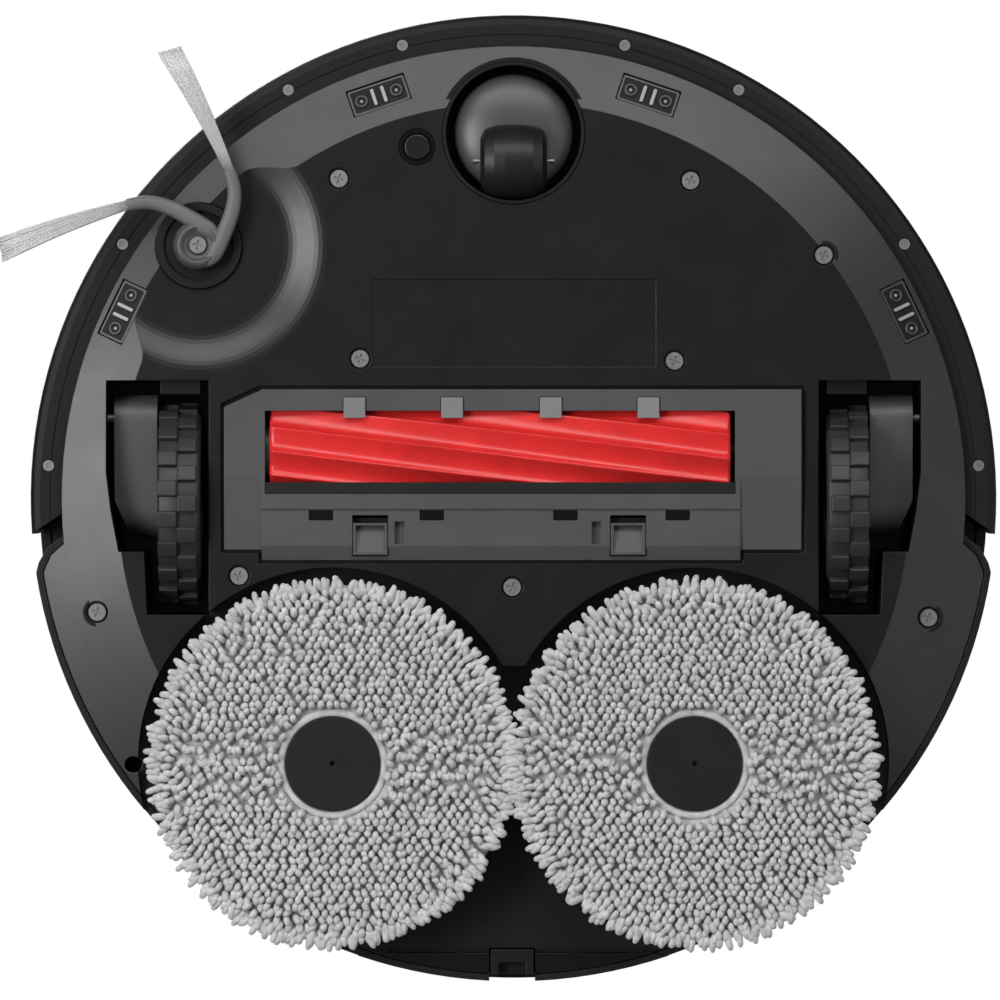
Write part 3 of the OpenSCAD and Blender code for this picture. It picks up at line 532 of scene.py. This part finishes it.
def mop_pad(side, body, node, seed):
    """A backing disc, a hem round its hole, rows of yarn tufts and a fringe round the rim."""
    rng = random.Random(seed)
    cx = side * MOP_X
    backing = [(HOLE_R, 9.2), (HOLE_R, 5.6), (HOLE_R + 0.8, 4.8), (62.6, 4.8), (64.2, 6.2),
               (64.4, 9.2)]
    verts, faces = revolve(backing, (cx, MOP_Y), 96)
    base = add_mesh(node + "_backing", verts, faces, "backing", body)
    hem_profile = [(HOLE_R - 0.1, 9.0), (HOLE_R - 0.2, 4.4), (HOLE_R + 0.2, 3.9), (HOLE_R + 1.2, 3.7),
                   (HOLE_R + 2.2, 3.9), (HOLE_R + 2.7, 4.6), (HOLE_R + 2.8, 9.0)]
    verts, faces = revolve(hem_profile, (cx, MOP_Y), 96)
    hem = add_mesh(node + "_hem", verts, faces, "yarn", body)
    strands = Strands()
    pitch_x, pitch_y, wander = 3.1, 2.35, 0.34
    tufts_from, tufts_to = HOLE_R + 2.6, 62.0
    splay_from, splay_width = 48.0, 14.0
    row = 0
    y = -PAD_R
    while y < PAD_R:
        x = -PAD_R + (row % 2) * pitch_x / 2
        while x < PAD_R:
            px = x + rng.uniform(-wander, wander)
            py = y + rng.uniform(-wander, wander)
            r = math.hypot(px, py)
            if tufts_from < r < tufts_to:
                outward = math.atan2(py, px)
                upright = math.copysign(math.pi / 2, py + rng.uniform(-16, 16))
                pull = min(1.0, max(0.0, (r - splay_from) / splay_width))
                ux = math.cos(upright) * (1 - pull) + math.cos(outward) * pull
                uy = math.sin(upright) * (1 - pull) + math.sin(outward) * pull
                heading = math.atan2(uy, ux) + rng.gauss(0, 0.35)
                length = rng.uniform(1.7, 2.7) + 1.6 * pull
                reach = r + length * math.cos(heading - outward)
                if reach > HOLE_R + 2.0:
                    yarn_finger(strands, rng, cx + px, MOP_Y + py, heading, length)
            x += pitch_x
        y += pitch_y
        row += 1
    # fringe round the rim, in two layers
    for ring_r, count, base_z in ((61.0, 150, 7.6), (62.2, 128, 8.2)):
        for i in range(count):
            a = 2 * math.pi * (i + rng.uniform(-0.35, 0.35)) / count
            yarn_finger(strands, rng, cx + ring_r * math.cos(a), MOP_Y + ring_r * math.sin(a),
                        a + rng.gauss(0, 0.3), rng.uniform(4.2, 6.2), base_z)
    pad = add_mesh(node + "_yarn", strands.verts, strands.faces, "yarn", body)
    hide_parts(node)


mop_pad(1, "left_mop", "left_mop_pad", 11)
mop_pad(-1, "right_mop", "right_mop_pad", 23)


# ---- main brush: overlapping helical rubber vanes ----

BRUSH_Y = -17
BRUSH_Z = 28.3


def main_brush():
    """A rubber sleeve whose section is a row of vanes that lean over, turned along its length."""
    vanes = 16
    crest_r = 22.6
    x0, x1 = -88.0, 78.2
    along = 150
    turn_per_mm = 0.125 / crest_r
    # one vane: share of its pitch, and height over the crest radius
    shape = [(0.0, 0.10), (0.05, -0.10), (0.12, -0.50), (0.22, -0.95), (0.34, -1.35),
             (0.46, -1.62), (0.58, -1.75), (0.68, -1.72), (0.76, -1.55), (0.83, -1.25),
             (0.89, -0.85), (0.93, -0.45), (0.96, -0.10), (0.985, 0.08)]
    ring = vanes * len(shape)
    verts = []
    for i in range(along + 1):
        x = x0 + (x1 - x0) * i / along
        lift = -0.6 if i in (0, along) else 0.0
        for v in range(vanes):
            for share, drop in shape:
                a = 2 * math.pi * (v + share) / vanes + (x - x0) * turn_per_mm
                r = crest_r + drop + lift
                verts.append((x, BRUSH_Y + r * math.sin(a), BRUSH_Z - r * math.cos(a)))
    faces = quads(along + 1, ring)
    verts += [(x0, BRUSH_Y, BRUSH_Z), (x1, BRUSH_Y, BRUSH_Z)]
    last = len(verts) - 1
    for j in range(ring):
        k = (j + 1) % ring
        faces.append((last - 1, k, j))
        faces.append((last, along * ring + j, along * ring + k))
    brush = add_mesh("brush_vanes", verts, faces, "red_rubber", "main_brush")
    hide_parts("main_brush_blades")


main_brush()


# ---- side brush: two curved arms with bundles of fibres ----

SIDE_AT = Vector((*SIDE_BRUSH_XY, 0))
ARM_LINE = [(0.5, 6.9), (4.6, 5.0), (7.2, 0.6), (9.9, -5.4), (12, -11), (13.1, -16.6),
            (12.9, -21.4), (11.2, -27.4)]
ARM_END = Vector((11.5, -26.4, 6.8))
BUNDLE_TIP = Vector((-10.2, -70.4, 3.2))
SECOND_ARM_TURN = math.radians(-83.3)
FIBRES = 330


def side_brush():
    """The hub, two flattened arms, and a bundle of fibres that fans out from each arm's end."""
    rng = random.Random(5)
    hub_profile = [(2.9, 12.2), (2.9, 7.2), (3.3, 6.7), (4.6, 6.5), (5.4, 5.9), (6.0, 5.3), (6.8, 5.2),
                   (8.0, 6.1), (8.8, 7.4), (9.0, 8.8), (9.0, 12.2)]
    verts, faces = revolve(hub_profile, SIDE_AT, 72)
    hub = add_mesh("side_brush_hub", verts, faces, "hub_rubber", "side_brush")
    arms, fibres = Strands(), Strands()
    for turn in (0, SECOND_ARM_TURN):
        spin = Matrix.Rotation(turn, 3, "Z")
        line = smooth_line([(x, y, 7.0) for x, y in ARM_LINE], 8)
        count = len(line)
        radii = [min(3.1, 1.2 + 0.16 * i) - 0.8 * max(0.0, (i - 16) / (count - 17))
                 for i in range(count)]
        radii[-1] *= 0.9
        arms.sweep([spin @ p + SIDE_AT for p in line], radii, 20, 0.66)
        for _ in range(FIBRES):
            across = rng.uniform(-1, 1)
            depth = rng.uniform(-1, 1)
            root = ARM_END + Vector((across * 1.75, across * 0.5, depth * 0.9))
            reach = rng.uniform(0.955, 1.0)
            tip = BUNDLE_TIP + Vector((across * 4.2, -across * 1.2, depth * 1.2))
            tip = ARM_END + (tip - ARM_END) * reach
            middle = (root + tip) / 2 + Vector((1.5, -0.6, -1.6))
            points = []
            for k in range(7):
                t = k / 6
                p = root * (1 - t) ** 2 + middle * (2 * t * (1 - t)) + tip * t * t
                points.append(spin @ p + SIDE_AT)
            fibres.sweep(points, [0.28] * 6 + [0.18], 5)
    arm = add_mesh("side_brush_arm_pair", arms.verts, arms.faces, "arm_rubber", "side_brush")
    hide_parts("side_brush_arms")
    hair = add_mesh("side_brush_fibres", fibres.verts, fibres.faces, "bristle", "side_brush")
    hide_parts("side_brush_bristles")


side_brush()


# ---- tyres with two staggered rows of tread blocks ----

WHEEL_Y = 2.1
WHEEL_R = 36.85


def tyre(side, body, node):
    """A smooth carcass, with blocks that stand on it in two rows half a pitch apart."""
    blocks = 20
    parts = 4
    foot_r, tread_r = 34.4, WHEEL_R - 0.02
    foot_share, tread_share = 0.56, 0.50

    def ring_point(x, r, a):
        return (side * x, WHEEL_Y + r * math.sin(a), WHEEL_R - r * math.cos(a))

    core = [(112.9, 29.0), (112.9, 33.4), (113.6, 34.6), (114.6, 35.0), (121.0, 34.9), (127.4, 35.0),
            (128.1, 34.4), (128.1, 29.0)]
    steps = 160
    verts = []
    for i in range(steps):
        a = 2 * math.pi * i / steps
        verts += [ring_point(x, r, a) for x, r in core]
    faces = quads(steps, len(core), wrap=True, flip=True)
    carcass = add_mesh(node + "_carcass", verts, faces, "tyre", body)
    verts, faces = [], []
    pitch = 2 * math.pi / blocks
    for x0, x1, shift in ((114.2, 121.15, 0.0), (121.25, 128.3, 0.5)):
        for b in range(blocks):
            mid = pitch * (b + shift)
            base = len(verts)
            for step in range(parts + 1):
                share = step / parts - 0.5
                for x, r, spread in ((x0, foot_r, foot_share), (x0 + 0.1, tread_r, tread_share),
                                     (x1 - 0.1, tread_r, tread_share), (x1, foot_r, foot_share)):
                    verts.append(ring_point(x, r, mid + share * spread * pitch))
            faces += quads(parts + 1, 4, start=base)
            faces.append((base + 3, base + 2, base + 1, base))
            faces.append(tuple(base + parts * 4 + j for j in range(4)))
    tread = add_mesh(node + "_blocks", verts, faces, "tyre", body, smooth=False)
    add_modifier(tread, "BEVEL", width=0.45 * MM, segments=2, limit_method="ANGLE", angle_limit=0.6)
    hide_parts(node)


tyre(1, "left_wheel", "left_tyre")
tyre(-1, "right_wheel", "right_tyre")


# ---- suspension springs, which stretch between the arm and the chassis ----

def spring(side, node):
    """A coil of wire between its seats on the arm and the chassis."""
    turns, coil_r, wire_r = 5.0, 4.1, 0.7
    x = 137
    z0, z1 = 50.2, 74.6
    steps = 180
    points = []
    for i in range(steps + 1):
        a = 2 * math.pi * turns * i / steps
        points.append((side * (x + coil_r * math.cos(a)), WHEEL_Y + coil_r * math.sin(a),
                       z0 + (z1 - z0) * i / steps))
    coil = Strands()
    coil.sweep(points, [wire_r] * (steps + 1), 10)
    obj = add_mesh(node + "_coil", coil.verts, coil.faces, "steel", None)
    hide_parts(node)
    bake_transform(obj)


spring(1, "left_suspension_spring")
spring(-1, "right_suspension_spring")


# ---- caster: a domed carrier with an arched window for the wheel ----

CASTER_Y = -131.8


def caster_cover():
    """The dome, closed above, with the window cut out of it up to the arch."""
    dome_r, dome_h, top_z, low_z = 21.5, 7.2, 31.5, 10.2
    steps, rings = 96, 14
    verts = [(0, CASTER_Y, low_z)]
    levels = []
    for i in range(1, rings + 1):
        u = math.sin(0.5 * math.pi * i / rings)
        levels.append((dome_r * u, low_z + dome_h * (1 - math.sqrt(max(0.0, 1 - u * u)))))
    levels.append((dome_r, top_z))
    for r, z in levels:
        for k in range(steps):
            a = 2 * math.pi * k / steps
            verts.append((r * math.cos(a), CASTER_Y + r * math.sin(a), z))
    faces = [(0, 1 + (k + 1) % steps, 1 + k) for k in range(steps)]
    faces += quads(len(levels), steps, start=1)
    faces.append(tuple(1 + (len(levels) - 1) * steps + k for k in range(steps)))
    cover = add_mesh("caster_cover", verts, faces, "dome", None)
    half, back_y, spring_y, rise = 12.3, -95, -133.6, 4.0
    arch = [(half, back_y), (-half, back_y)]
    for i in range(25):
        x = -half + 2 * half * i / 24
        arch.append((x, spring_y - rise * (1 - (x / half) ** 2)))
    verts, faces = slab(list(reversed(arch)), 2.0, 28.4)
    cutter = add_mesh("caster_window_cutter", verts, faces, "dome", None, smooth=False)
    add_modifier(cover, "BOOLEAN", operation="DIFFERENCE", solver="EXACT", object=cutter)
    apply_modifiers(cover)
    bpy.data.objects.remove(cutter)
    add_modifier(cover, "BEVEL", width=0.5 * MM, segments=3, limit_method="ANGLE", angle_limit=0.7)
    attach(cover, "caster_swivel")
    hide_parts("caster_fork")


caster_cover()


# ---- small details: sensor faces, painted shade in the guard slots, scraper lip ----

# angle from the front in degrees, and radius
CLIFF_SPOTS = [(-64.5, 156.6), (-18.5, 153.6), (18.5, 153.6), (64.5, 156.6)]


def band_matrix(angle, r):
    """The frame of a spot on the bevelled band, with local +Z into the body."""
    z = PLATE_Z + (r - PLATE_R) * BAND_SLOPE
    tilt = math.atan(BAND_SLOPE)
    return (Matrix.Rotation(math.radians(angle), 4, "Z") @ Matrix.Translation((0, -r, z))
            @ Matrix.Rotation(-tilt, 4, "X"))


def join_parts(parts):
    """Several lists of points and faces as one."""
    verts, faces = [], []
    for part_verts, part_faces in parts:
        base = len(verts)
        verts.extend(part_verts)
        faces.extend(tuple(base + i for i in face) for face in part_faces)
    return verts, faces


def sensor_eyes():
    """In each cliff window: a thin border, two ringed lenses, and two bright bars."""
    lens_x, bar_x = 6.6, 1.9
    back_z = 1.2
    ring = [(1.5, back_z), (1.5, 0.55), (1.75, 0.35), (2.2, 0.35), (2.5, 0.6), (2.5, back_z)]
    pupil = [(0.02, back_z), (0.02, 0.55), (0.4, 0.6), (0.6, 0.8), (0.65, back_z)]
    border = [rounded_box(-10.6, 10.6, -4.9, 4.9, 0.8), rounded_box(-9.8, 9.8, -4.1, 4.1, 0.6)]
    count = len(border[0])
    for number, (angle, r) in enumerate(CLIFF_SPOTS):
        place = band_matrix(angle, r)
        frame_verts = [(x, y, z) for z in (0.75, back_z) for line in border for x, y in line]
        frame_faces = []
        for i in range(count):
            k = (i + 1) % count
            frame_faces.append((i, count + i, count + k, k))
            frame_faces.append((2 * count + i, 2 * count + k, 3 * count + k, 3 * count + i))
            frame_faces.append((i, k, 2 * count + k, 2 * count + i))
            frame_faces.append((count + i, 3 * count + i, 3 * count + k, count + k))
        dull = join_parts([revolve(ring, (s * lens_x, 0), 28) for s in (-1, 1)]
                          + [(frame_verts, frame_faces)])
        bright = join_parts(
            [slab(rounded_box(s * bar_x - 0.6, s * bar_x + 0.6, -3.2, 3.2, 0.5), 0.35, back_z)
             for s in (-1, 1)]
            + [revolve(pupil, (s * lens_x, 0), 20) for s in (-1, 1)])
        for label, part, material in (("frame", dull, "lens_frame"), ("emitters", bright, "emitter")):
            placed = [tuple(place @ Vector(v)) for v in part[0]]
            obj = add_mesh("cliff_%s_%d" % (label, number + 1), placed, part[1], material, "chassis",
                           smooth=False)


def paint_guard_slot_shade():
    """Black plates in the four slots behind the guard's window, which paint the shade of the slots'
    depths.
    """
    half = 4.2
    verts, faces = join_parts([slab(rounded_box(x - half, x + half, 4.5, 7.85, 1.1), 8.75, 11.3)
                               for x in (-69.5, -29.5, 18.7, 59.2)])
    # these plates are painted shade: black plates stand for the dark depths of the slots
    shade_plates = add_mesh("guard_slot_painted_shade", verts, faces, "painted_shade", "guard", smooth=False)


def guard_scraper():
    """A dark rubber lip along the rear edge of the suction window, clear of the vanes."""
    profile = [(-5.7, 8.1), (-5.5, 7.95), (-1.9, 7.95), (-1.65, 8.2), (-1.65, 9.6), (-2.6, 9.6),
               (-4.6, 8.7), (-5.6, 8.35)]
    x0, length = -89.6, 169.4
    steps = 8
    verts = []
    count = len(profile)
    for i in range(steps + 1):
        x = x0 + length * i / steps
        verts += [(x, y, z) for y, z in profile]
    faces = quads(steps + 1, count, flip=True)
    faces.append(tuple(range(count)))
    faces.append(tuple(steps * count + j for j in reversed(range(count))))
    lip = add_mesh("guard_scraper_lip", verts, faces, "caster_rubber", "guard", smooth=False)


def carpet_sensor_face():
    """The round face in the middle of the carpet sensor's ring of painted shade."""
    profile = [(0.02, 12.2), (0.02, 10.95), (4.2, 10.95), (4.5, 11.1), (4.6, 11.4), (4.6, 12.2)]
    verts, faces = revolve(profile, (-34.8, -126.7), 64)
    disc = add_mesh("carpet_sensor_face", verts, faces, "underside", "chassis", smooth=False)


sensor_eyes()
paint_guard_slot_shade()
guard_scraper()
carpet_sensor_face()
